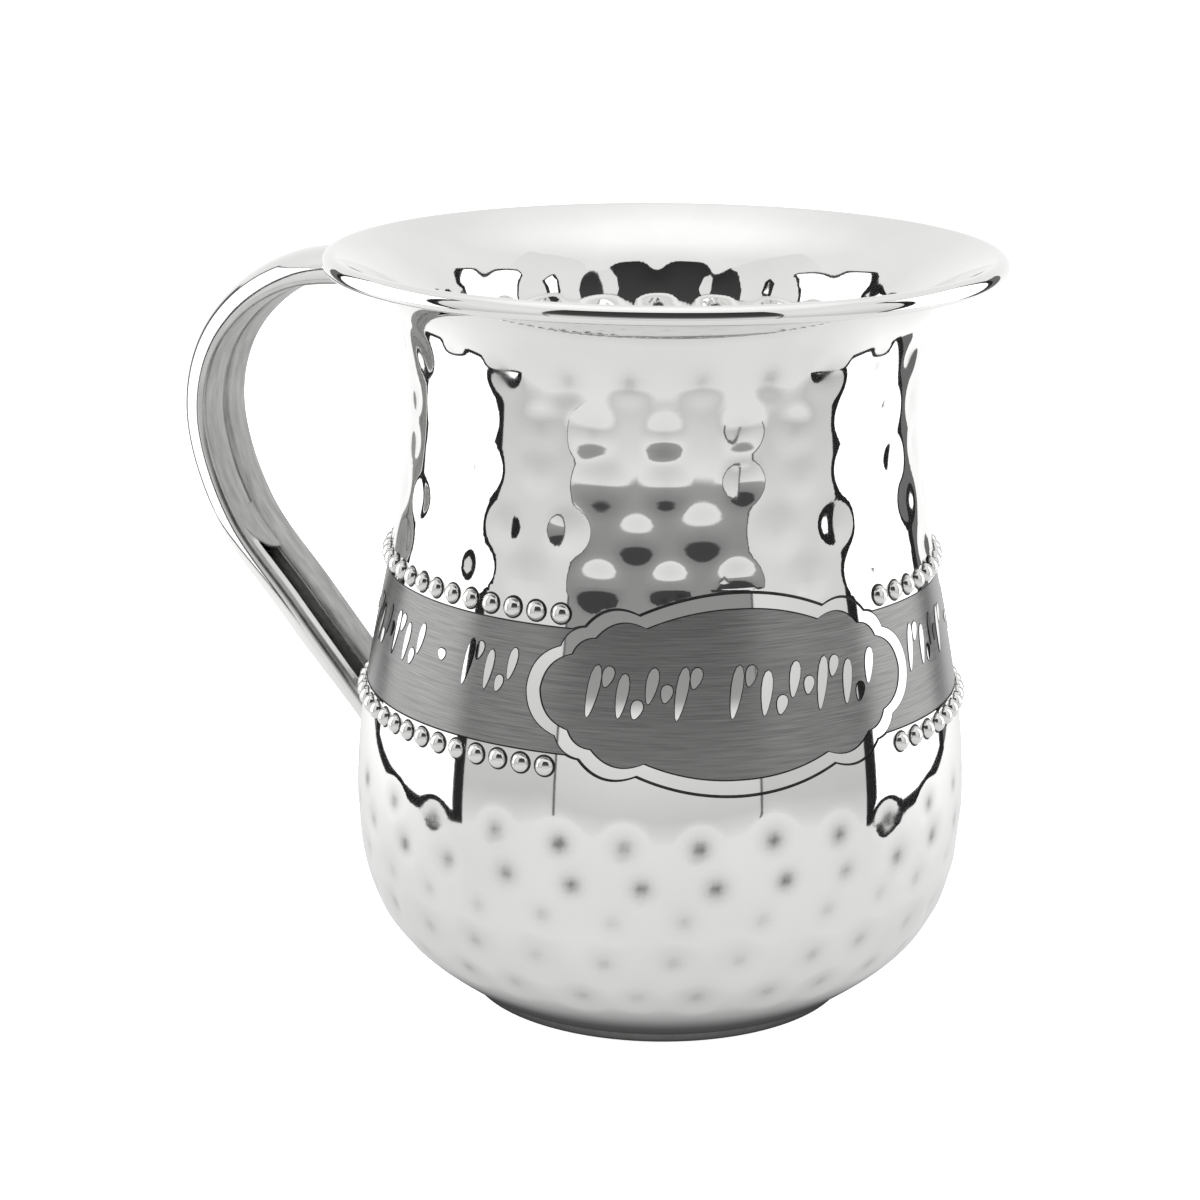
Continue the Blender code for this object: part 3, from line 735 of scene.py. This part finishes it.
def handle_path():
    """A dense run of points of the handle's inner face, from inside the neck to inside the belly."""
    top = HEIGHT - HANDLE_TOP_DROP
    drop = top - HANDLE_FOOT_HEIGHT
    first = (-(float(wall_at(top)[0]) - END_EMBED), top)
    last = (-(float(wall_at(HANDLE_FOOT_HEIGHT)[0]) - END_EMBED), HANDLE_FOOT_HEIGHT)
    loop = [(-(NECK_RADIUS + HANDLE_REACH * out), top - drop * down) for out, down in HANDLE_LOOP]
    knots = [np.array(p) for p in (first, *loop, last)]
    ends = [2 * knots[0] - knots[1], *knots, 2 * knots[-1] - knots[-2]]
    dense = []
    for a, b, c, d in zip(ends, ends[1:], ends[2:], ends[3:]):
        for t in np.linspace(0.0, 1.0, 60, endpoint=False):
            bend = (2 * a - 5 * b + 4 * c - d) * t * t + (3 * b - a - 3 * c + d) * t**3
            dense.append(b + ((c - a) * t + bend) / 2)
    dense.append(knots[-1])
    start = dense[0] - END_EXTRA * (dense[1] - dense[0]) / np.linalg.norm(dense[1] - dense[0])
    end = dense[-1] + END_EXTRA * (dense[-1] - dense[-2]) / np.linalg.norm(dense[-1] - dense[-2])
    return np.array([start, *dense, end])


def handle_line():
    """The smoothed inner face as distances, (x, z) points and outward directions, and its length."""
    path = handle_path()
    way = np.concatenate(([0.0], np.cumsum(np.linalg.norm(np.diff(path, axis=0), axis=1))))
    fine = np.linspace(0.0, way[-1], HANDLE_STEPS)
    line = np.column_stack([np.interp(fine, way, path[:, a]) for a in (0, 1)])
    kernel = np.hanning(HANDLE_SMOOTHING) / np.hanning(HANDLE_SMOOTHING).sum()
    margin = HANDLE_SMOOTHING // 2
    padded = np.pad(line, ((margin, margin), (0, 0)), mode="reflect", reflect_type="odd")
    line = np.column_stack([np.convolve(padded[:, a], kernel, mode="valid") for a in (0, 1)])
    tangent = np.gradient(line, fine, axis=0)
    tangent /= np.linalg.norm(tangent, axis=1)[:, None]
    outward = np.column_stack((tangent[:, 1], -tangent[:, 0]))
    return fine, line, outward, way[-1] - 2 * END_EXTRA


CORNER_TURNS = np.linspace(-math.pi / 2, 0.0, 9)[:-1]
CROWN_TURNS = np.linspace(0.0, math.pi, 41)
EDGE_SHARES = np.linspace(0.0, 1.0, 9)


def crowned(width, height, corner, base):
    """The strap's crowned outline from one lower corner over the top to the other."""
    low = base + corner
    ring = [(width - corner + corner * math.cos(t), low + corner * math.sin(t)) for t in CORNER_TURNS]
    over = [(width * math.cos(t), low + (height - corner) * math.sin(t) ** HANDLE_CROWN) for t in CROWN_TURNS]
    return ring + over + [(-x, y) for x, y in reversed(ring)]


def handle_section(s, z, length):
    """The rolled strap's closed outline at a distance along it, as (across, out, dull)."""
    share = np.clip((s - END_EXTRA) / length, 0.0, 1.0)
    full = min(1.0, min(share, 1.0 - share) / HANDLE_END_SHARE)
    thick = HANDLE_END_THICK + (HANDLE_THICK - HANDLE_END_THICK) * full * full * (3 - 2 * full)
    low = s > END_EXTRA + length / 2
    half = HANDLE_WIDTH / 2
    opened = np.clip((CHANNEL_TOP - z) / CHANNEL_BLEND, 0.0, 1.0) if low else 0.0
    gap = SEAM_GAP + (half - CHANNEL_EDGE - SEAM_GAP) * opened
    outer = crowned(half, thick, HANDLE_CORNER, 0.0)
    inner = crowned(half - HANDLE_SHEET, thick - 2 * HANDLE_SHEET, HANDLE_CORNER / 2, HANDLE_SHEET)
    outer_edge, inner_edge = outer[0][0], inner[0][0]
    count = len(CORNER_TURNS)
    soft = np.zeros(len(outer))
    soft[:count] = np.linspace(1.0, CORNER_DULL, count)
    soft[-count:] = soft[:count][::-1]
    strip = 1.0 - (1.0 - CHANNEL_DULL) * opened
    dip = SEAM_DIP * (1.0 - opened)
    out = [(SEAM_GAP + (outer_edge - SEAM_GAP) * t, SEAM_DIP * (1 - t) ** 8, 1.0) for t in EDGE_SHARES[:-1]]
    out += [(x, y, d) for (x, y), d in zip(outer, soft)]
    out += [(-(outer_edge + (gap - outer_edge) * t), dip * t**8, strip) for t in EDGE_SHARES[1:]]
    out += [(-(gap + (inner_edge - gap) * t), HANDLE_SHEET, INNER_DULL) for t in EDGE_SHARES[:-1]]
    out += [(x, y, INNER_DULL) for x, y in reversed(inner)]
    out += [(inner_edge + (SEAM_GAP - inner_edge) * t, HANDLE_SHEET, INNER_DULL) for t in EDGE_SHARES[1:]]
    return np.array(out)


def handle_skin(skin):
    """The strap rolled to a hollow handle: its edges meet in a seam and part below into an open channel."""
    fine, line, outward, length = handle_line()
    sections = np.array([handle_section(s, z, length) for s, z in zip(fine, line[:, 1])])
    x = line[:, None, 0] + outward[:, None, 0] * sections[:, :, 1]
    z = line[:, None, 1] + outward[:, None, 1] * sections[:, :, 1]
    y = sections[:, :, 0]
    radius, out, _ = wall_at(z)
    clear = (np.hypot(x, y) - radius) * out + WELD_SINK
    rows = np.linspace(0.0, 1.0, HANDLE_ROWS)
    low_blend = np.clip(1.0 - rows / HANDLE_END_SHARE, 0.0, 1.0) ** 2
    high_blend = np.clip(1.0 - (1.0 - rows) / HANDLE_END_SHARE, 0.0, 1.0) ** 2
    count = sections.shape[1]
    points = np.zeros((HANDLE_ROWS, count, 3))
    dull_and_shade = np.zeros((HANDLE_ROWS, count))
    middle = HANDLE_STEPS // 2
    for k in range(count):
        first = np.flatnonzero(clear[:middle, k] < 0)
        last = np.flatnonzero(clear[middle:, k] < 0)
        start = fine[first[-1] + 1] if len(first) else fine[0]
        end = fine[middle + last[0] - 1] if len(last) else fine[-1]
        plain = END_EXTRA + rows * length
        s = plain + (start - END_EXTRA) * low_blend + (end - END_EXTRA - length) * high_blend
        for a, values in enumerate((x, y, z)):
            points[:, k, a] = np.interp(s, fine, values[:, k])
        dull_and_shade[:, k] = np.interp(s, fine, sections[:, k, 2])

    around = np.roll(points, -1, axis=1) - np.roll(points, 1, axis=1)
    along = np.gradient(points, axis=0)
    normal = -np.cross(around, along)
    normal /= np.maximum(np.linalg.norm(normal, axis=-1), 1e-12)[..., None]
    skin.add(points, grid_faces(HANDLE_ROWS, count)[:, ::-1], normal, dull_and_shade)


def tongue_skin(skin):
    """The near half's round end, a thin plate over the upper end of the open channel."""
    fine, line, outward, _ = handle_line()
    lower = slice(None, HANDLE_STEPS // 2 - 1, -1)
    first, last = np.interp((TONGUE_TIP, TONGUE_TOP), line[lower, 1], fine[lower])
    u = np.linspace(0.0, 1.0, TONGUE_ROWS)[:, None]
    v = np.linspace(0.0, 1.0, TONGUE_COLUMNS)[None, :]
    along = first + (last - first) * u
    reach = TONGUE_WIDE * np.sqrt(1.0 - (1.0 - u) ** 2.4)
    across = -SEAM_GAP - reach * v
    lift = TONGUE_RISE * np.clip((1.0 - u) / 0.7, 0.0, 1.0) * np.sqrt(1.0 - v**6)
    lift = lift * np.clip(u / 0.03, 0.0, 1.0) ** 0.5 - TONGUE_FLUSH
    base_x, base_z = (np.interp(along, fine, line[:, a]) for a in (0, 1))
    out_x, out_z = (np.interp(along, fine, outward[:, a]) for a in (0, 1))

    def sheet(rise):
        """The plate's surface at a rise from the strap's face, towards the cup."""
        surface = np.broadcast_arrays(base_x - out_x * rise, across, base_z - out_z * rise)
        return np.stack(surface, axis=-1)

    top, under = sheet(lift), sheet(0 * v - TONGUE_SINK)
    facing = np.stack(np.broadcast_arrays(-out_x + 0 * v, 0.0, -out_z), axis=-1)
    normal = np.cross(np.gradient(top, axis=0), np.gradient(top, axis=1))
    size = np.linalg.norm(normal, axis=-1)
    normal[size > 0] /= size[size > 0][:, None]
    normal[(normal * facing).sum(axis=-1) < 0] *= -1
    normal[size <= 1e-15] = facing[size <= 1e-15]
    quads = grid_faces(TONGUE_ROWS, TONGUE_COLUMNS, closed=False)
    skin.add(top, quads[:, ::-1], normal, 1.0)
    skin.add(under, quads, -facing, 1.0)

    number = np.arange(TONGUE_ROWS * TONGUE_COLUMNS).reshape(TONGUE_ROWS, TONGUE_COLUMNS)
    edge = [*number[:, 0], *number[-1, 1:], *number[-2::-1, -1], *number[0, -2:0:-1]]
    both = np.concatenate((top.reshape(-1, 3), under.reshape(-1, 3)))
    rim = [(p, q, q + number.size, p + number.size) for p, q in zip(edge, edge[1:] + edge[:1])]
    side = np.zeros_like(both)
    centre = top.reshape(-1, 3).mean(axis=0)
    for p in edge:
        way = both[p] - centre
        side[p] = side[p + number.size] = way / np.linalg.norm(way)
    skin.add(both, rim, side, 1.0)


def node_material(name, grey=0.8, rough=0.5, metal=0.0):
    """A material with its plain values on the shader, for nodes to vary."""
    material = bpy.data.materials.new(name)
    material.use_nodes = True
    tree = material.node_tree
    shader = tree.nodes["Principled BSDF"]
    shader.inputs["Base Color"].default_value = (grey, grey, grey, 1.0)
    shader.inputs["Roughness"].default_value = rough
    shader.inputs["Metallic"].default_value = metal
    return material, tree, shader


def feed(tree, value, socket):
    """Gives a socket a number, a colour or the output of another node."""
    if isinstance(value, bpy.types.NodeSocket):
        tree.links.new(value, socket)
    else:
        socket.default_value = value


def added(tree, kind, output, values, **settings):
    """Adds a node with its settings, feeds its inputs by name or number, and returns one of its outputs."""
    node = tree.nodes.new("ShaderNode" + kind)
    for name, value in settings.items():
        setattr(node, name, value)
    for key, value in values.items():
        feed(tree, value, node.inputs[key])
    return node.outputs[output]


def own_place(tree):
    """The object's own coordinates."""
    return added(tree, "TexCoord", "Object", {})


def streaks(tree, scale, stretch, detail=4.0):
    """Noise in the object's own space, stretched by a factor along each axis."""
    place = added(tree, "Mapping", "Vector", {"Vector": own_place(tree), "Scale": stretch})
    return added(tree, "TexNoise", "Fac", {"Vector": place, "Scale": scale, "Detail": detail})


def ranged(tree, value, low, high):
    """A noise value brought into another range."""
    limits = {"From Min": 0.25, "From Max": 0.75, "To Min": low, "To Max": high}
    return added(tree, "MapRange", "Result", {"Value": value, **limits})


def ramp(tree, value, stops):
    """Colours along a value, from stops of (place, colour)."""
    node = tree.nodes.new("ShaderNodeValToRGB")
    elements = node.color_ramp.elements
    elements.remove(elements[1])
    elements[0].position = stops[0][0]
    elements[0].color = (*stops[0][1], 1.0)
    for place, colour in stops[1:]:
        elements.new(place).color = (*colour, 1.0)
    tree.links.new(value, node.inputs["Fac"])
    return node.outputs["Color"]


def coloured(tree, value, dark, light):
    """A noise value as a colour between two greys."""
    return ramp(tree, value, [(0.3, dark), (0.7, light)])


def bump(tree, value, distance, shader):
    """Fine relief from a value, at most a distance deep."""
    normal = added(tree, "Bump", "Normal", {"Height": value, "Distance": distance, "Strength": 1.0})
    tree.links.new(normal, shader.inputs["Normal"])


def layered(tree, layer, first, second, colour):
    """Two colours or values mixed by a layer, through the mix node's own pair of inputs for either."""
    kind, pair, output = ("RGBA", (6, 7), 2) if colour else ("FLOAT", (2, 3), 0)
    return added(tree, "Mix", output, {0: layer, pair[0]: first, pair[1]: second}, data_type=kind)


def two_finish_steel(name, plain, grain, bright, dark, smooth, matt, relief):
    """Polished steel, faintly cloudy, that turns grey and grained where the mesh carries its layer: painted
    shade and painted dark reflection on the shell, a duller finish on the handle's face towards the cup.
    """
    material, tree, shader = node_material(name, *plain, 1.0)
    cloudy = streaks(tree, 60.0, (1.0, 1.0, 1.0))
    lines = streaks(tree, *grain)
    # The layer painted on the mesh: painted shade on the shell, a duller finish on the handle
    layer = added(tree, "Attribute", "Fac", {}, attribute_name="dull_and_shade")
    colour = layered(tree, layer, coloured(tree, cloudy, *bright), coloured(tree, lines, *dark), True)
    tree.links.new(colour, shader.inputs["Base Color"])
    rough = layered(tree, layer, ranged(tree, cloudy, *smooth), ranged(tree, lines, *matt), False)
    tree.links.new(rough, shader.inputs["Roughness"])
    noise, distance = relief
    bump(tree, streaks(tree, *noise), distance, shader)
    return material


def polished_steel():
    """Mirror steel of the shell, dark grey where painted shade and painted dark reflection lie on it."""
    return two_finish_steel(
        "polished_steel",
        plain=(0.86, 0.04),
        grain=(700.0, (1.0, 1.0, 1.0), 3.0),
        bright=((0.83, 0.83, 0.82), (0.88, 0.88, 0.87)),
        dark=((0.22, 0.22, 0.215), (0.34, 0.34, 0.335)),
        smooth=(0.030, 0.055),
        matt=(0.16, 0.26),
        relief=((900.0, (1.0, 1.0, 1.0), 2.0), 0.0000006),
    )


def handle_steel():
    """Polished strap, streaky grey on the face towards the cup."""
    lines = (240.0, (1.0, 2.5, 0.6), 5.0)
    return two_finish_steel(
        "handle_steel",
        plain=(0.78, 0.12),
        grain=lines,
        bright=((0.80, 0.80, 0.79), (0.86, 0.86, 0.85)),
        dark=((0.32, 0.32, 0.315), (0.56, 0.56, 0.55)),
        smooth=(0.06, 0.10),
        matt=(0.30, 0.46),
        relief=(lines, 0.000004),
    )


def satin_steel():
    """Etched steel brushed round the cup."""
    material, tree, shader = node_material("satin_steel", 0.26, 0.34, 1.0)
    shader.inputs["Anisotropic"].default_value = 0.7
    shader.inputs["Anisotropic Rotation"].default_value = 0.25
    around = added(tree, "Tangent", "Tangent", {}, direction_type="RADIAL", axis="Z")
    tree.links.new(around, shader.inputs["Tangent"])
    lines = streaks(tree, 120.0, (1.0, 1.0, 45.0), 3.0)
    colour = coloured(tree, lines, (0.20, 0.20, 0.198), (0.33, 0.33, 0.326))
    tree.links.new(colour, shader.inputs["Base Color"])
    tree.links.new(ranged(tree, lines, 0.30, 0.42), shader.inputs["Roughness"])
    bump(tree, lines, 0.000012, shader)
    return material


def groove_shade_steel():
    """Near-black steel of the etched lines: painted shade and painted dark reflection along the edges of the
    belt, the cartouche and the strokes.
    """
    material, tree, shader = node_material("etched_groove_shade", 0.05, 0.55, 1.0)
    grain = streaks(tree, 500.0, (1.0, 1.0, 1.0))
    tree.links.new(coloured(tree, grain, (0.03, 0.03, 0.03), (0.08, 0.08, 0.08)), shader.inputs["Base Color"])
    tree.links.new(ranged(tree, grain, 0.45, 0.65), shader.inputs["Roughness"])
    return material


def finish_piece(skin, name, material, node):
    """A skin as a finished piece that stands for a node of the solids."""
    piece = skin.build(name)
    piece.data.materials.append(material)
    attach(piece, "root")
    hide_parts(node)


def make_cup():
    """Polished shell, etched field, grooves painted dark as edge shade, and beads, which together stand for
    the cup's body.

    The beads take the shell's polished steel.
    """
    shell, field, groove, beads = Skin(), Skin(), Skin(), Skin()
    shell_grid(shell)
    belt_zone(shell, field, groove)
    bead_skin(beads, groove)
    finish_piece(shell, "polished_shell", polished_steel(), "cup_body")
    finish_piece(field, "etched_field", satin_steel(), "cup_body")
    # Grooves whose near-black colour is painted shade along the edges
    finish_piece(groove, "etched_outlines", groove_shade_steel(), "cup_body")
    plain_steel = bpy.data.materials["polished_steel"]
    finish_piece(beads, "beads", plain_steel, "cup_body")


def make_handle():
    """The rolled strap and its tongue, as the one piece that stands for the handle."""
    skin = Skin()
    handle_skin(skin)
    tongue_skin(skin)
    finish_piece(skin, "rolled_handle", handle_steel(), "handle")


def stage_plane(name, corners, grey):
    """A flat stage card from four corners, in a matt grey."""
    mesh = bpy.data.meshes.new(name)
    mesh.from_pydata([tuple(c) for c in corners], [], [(0, 1, 2, 3)])
    card = link(bpy.data.objects.new(name, mesh))
    mesh.materials.append(node_material(name, grey, 0.9)[0])
    return card


def only_reflected(card, value):
    """Makes a stage card glow, and show in reflections alone: a number, or a socket of its own nodes."""
    tree = card.data.materials[0].node_tree
    glow = added(tree, "Emission", "Emission", {"Color": (1.0, 1.0, 1.0, 1.0), "Strength": value})
    tree.links.new(glow, tree.nodes["Material Output"].inputs["Surface"])
    card.visible_camera = False
    card.visible_diffuse = False
    card.visible_shadow = False
    return card


def stepped(tree, value, low, high, stops):
    """Greys along a value that runs from low to high, from stops of (value, grey)."""
    share = added(tree, "MapRange", "Result", {"Value": value, "From Min": low, "From Max": high})
    return ramp(tree, share, [((place - low) / (high - low), (grey,) * 3) for place, grey in stops])


def own_axis(tree, axis):
    """One of the object's own coordinates."""
    return added(tree, "SeparateXYZ", axis, {"Vector": own_place(tree)})


def middle_distance(tree):
    """The distance from the object's own middle."""
    return added(tree, "VectorMath", "Value", {0: own_place(tree)}, operation="LENGTH")


def maths(tree, operation, *values):
    """A sum of sockets or numbers."""
    return added(tree, "Math", "Value", dict(enumerate(values)), operation=operation)


def to_row(right, away, z):
    """A stage point given to the camera's right of the cup, away from the camera behind it, and up."""
    ahead = VIEW_ANGLE + math.pi
    sideways = VIEW_ANGLE + math.pi / 2
    return (
        right * math.cos(sideways) + away * math.cos(ahead),
        right * math.sin(sideways) + away * math.sin(ahead),
        z,
    )


def upright_card(name, near, far, low, high, grey=0.8):
    """An upright stage card from one ground point to another."""
    corners = [to_row(*near, low), to_row(*far, low), to_row(*far, high), to_row(*near, high)]
    return stage_plane(name, corners, grey)


def reflected_card(name, near, far, low, high, glow):
    """An upright card of one glow that shows in reflections alone."""
    return only_reflected(upright_card(name, near, far, low, high), glow)


def make_table():
    """A white floor for the camera, and the greyer table that the steel reflects, with a painted contact
    shadow round the foot and painted light near the side panels behind the cup.
    """
    square = [(x * TABLE_HALF, y * TABLE_HALF, 0) for x, y in ((-1, -1), (1, -1), (1, 1), (-1, 1))]
    floor = stage_plane("floor", square, 0.95)
    floor.location.z = -FLOOR_DROP
    floor.visible_glossy = False
    shader = floor.data.materials[0].node_tree.nodes["Principled BSDF"]
    shader.inputs["Emission Color"].default_value = (1.0, 1.0, 1.0, 1.0)
    shader.inputs["Emission Strength"].default_value = FLOOR_GLOW
    table = stage_plane("table_in_reflections", square, 0.8)
    table.location.z = -TABLE_DROP
    table.rotation_euler.z = VIEW_ANGLE + math.pi / 2
    tree = table.data.materials[0].node_tree
    # Painted contact shadow round the foot, and painted light near the side panels
    ring = stepped(tree, middle_distance(tree), 0.0, 0.5, TABLE_GREY_AND_SHADOW)
    side = stepped(tree, maths(tree, "ABSOLUTE", own_axis(tree, "X")), 0.0, 0.3, TABLE_SIDE_LIGHT)
    back = stepped(tree, own_axis(tree, "Y"), -0.3, 0.3, TABLE_BACK)
    only_reflected(table, maths(tree, "ADD", ring, maths(tree, "MULTIPLY", side, back)))


def graded_card(name, near, far, low, high, stops):
    """An upright card in reflections whose grey changes with height."""
    card = upright_card(name, near, far, low, high)
    tree = card.data.materials[0].node_tree
    return only_reflected(card, stepped(tree, own_axis(tree, "Z"), low, high, stops))


def make_front():
    """The front of the tent before the camera: pale walls and a window, grey low down and dark above."""
    away, side = -FRONT_AWAY, SIDE_PANELS["right"][0] * FRONT_SPREAD
    left, right = WINDOW
    graded_card("front_wall", (-side, away), (side, away), 0.0, WALL_TOP, FRONT_WALL)
    graded_card("front_left", (-side, away), (-side, 0.0), 0.0, WALL_TOP, FRONT_WALL)
    graded_card("front_right", (side, away), (side, 0.0), 0.0, WALL_TOP, FRONT_WALL)
    away += 2 * CARD_GAP
    graded_card("front_window", (left, away), (right, away), WINDOW_LOW, WALL_TOP, FRONT_WINDOW)
    away += CARD_GAP
    for name, edge in (("window_left", left), ("window_right", right)):
        near, far = (edge - WINDOW_FRAME, away), (edge + WINDOW_FRAME, away)
        reflected_card(name, near, far, WINDOW_FRAME_LOW, WALL_TOP, WINDOW_FRAME_GLOW)


def make_side(name, x, front, back):
    """A bright panel in its dark frame beside the cup, a grey gap behind it and a soft light beyond it."""
    gap, frame_x = x * GAP_SPREAD, x * FRAME_SPREAD
    reflected_card(f"{name}_gap", (gap, back), (gap, back + GAP_LENGTH), 0.0, GAP_TOP, GAP_GLOW)
    near, far = (frame_x, front - FRAME_FRONT), (frame_x, back + FRAME_BACK)
    reflected_card(f"{name}_frame", near, far, 0.0, PANEL_TOP + FRAME_RISE, FRAME_GLOW)
    reflected_card(f"{name}_panel", (x, front), (x, back), FRAME_LOW, PANEL_TOP, PANEL_GLOW)
    light = bpy.data.lights.new(f"{name}_softbox", "AREA")
    light.shape = "SQUARE"
    light.size = SOFTBOX_SIZE
    light.energy = SOFTBOX_ENERGY
    lamp = link(bpy.data.objects.new(f"{name}_softbox", light))
    lamp.location = to_row(SOFTBOX_SPREAD * x, 0.0, SOFTBOX_HEIGHT)
    aim = Vector((0.0, 0.0, HEIGHT / 2)) - Vector(lamp.location)
    lamp.rotation_euler = aim.to_track_quat("-Z", "Y").to_euler()
    lamp.visible_glossy = False
    lamp.visible_camera = False


def make_world():
    """White all round, a little greyer in reflections."""
    world = bpy.data.worlds.new("studio")
    bpy.context.scene.world = world
    world.use_nodes = True
    tree = world.node_tree
    background = tree.nodes["Background"]
    background.inputs["Color"].default_value = (1.0, 1.0, 1.0, 1.0)
    reflected = added(tree, "LightPath", "Is Glossy Ray", {})
    glow = layered(tree, reflected, WORLD_GLOW, WORLD_REFLECTED, False)
    tree.links.new(glow, background.inputs["Strength"])


def make_stage():
    """The photographer's tent round the cup, as its reflections show it."""
    make_table()
    make_front()
    for name, (x, front, back) in SIDE_PANELS.items():
        make_side(name, x, front, back)
    graded_card("back_wall", (-ROOF_HALF, BACK_AWAY), (ROOF_HALF, BACK_AWAY), 0.0, BACK_TOP, BACK_WALL)
    corners = [(x * ROOF_HALF, y * ROOF_HALF) for x, y in ((-1, -1), (1, -1), (1, 1), (-1, 1))]
    roof = stage_plane("roof", [to_row(*corner, 0.0) for corner in corners], 0.8)
    roof.location.z = ROOF_HEIGHT
    tree = roof.data.materials[0].node_tree
    only_reflected(roof, stepped(tree, middle_distance(tree), 0.0, ROOF_HALF, ROOF))
    make_world()


def make_camera():
    """The camera of the photograph, from a fit to the rim, the foot, the bead rows and the belt."""
    data = bpy.data.cameras.new("camera")
    data.lens = VIEW_LENS
    data.sensor_width = 36.0
    camera = link(bpy.data.objects.new("camera", data))
    turn = VIEW_ANGLE + math.pi - VIEW_YAW
    ahead = Vector(
        (math.cos(turn) * math.cos(VIEW_PITCH), math.sin(turn) * math.cos(VIEW_PITCH), -math.sin(VIEW_PITCH))
    )
    right = ahead.cross(Vector((0.0, 0.0, 1.0))).normalized()
    up = right.cross(ahead)
    rolled_right = right * math.cos(VIEW_ROLL) + up * math.sin(VIEW_ROLL)
    rolled_up = up * math.cos(VIEW_ROLL) - right * math.sin(VIEW_ROLL)
    turned = Matrix((rolled_right, rolled_up, -ahead)).transposed().to_4x4()
    place = (VIEW_DISTANCE * math.cos(VIEW_ANGLE), VIEW_DISTANCE * math.sin(VIEW_ANGLE), VIEW_HEIGHT)
    camera.matrix_world = Matrix.Translation(place) @ turned
    bpy.context.scene.camera = camera
    bpy.context.scene.view_settings.view_transform = "Standard"


make_camera()
make_stage()
make_cup()
make_handle()
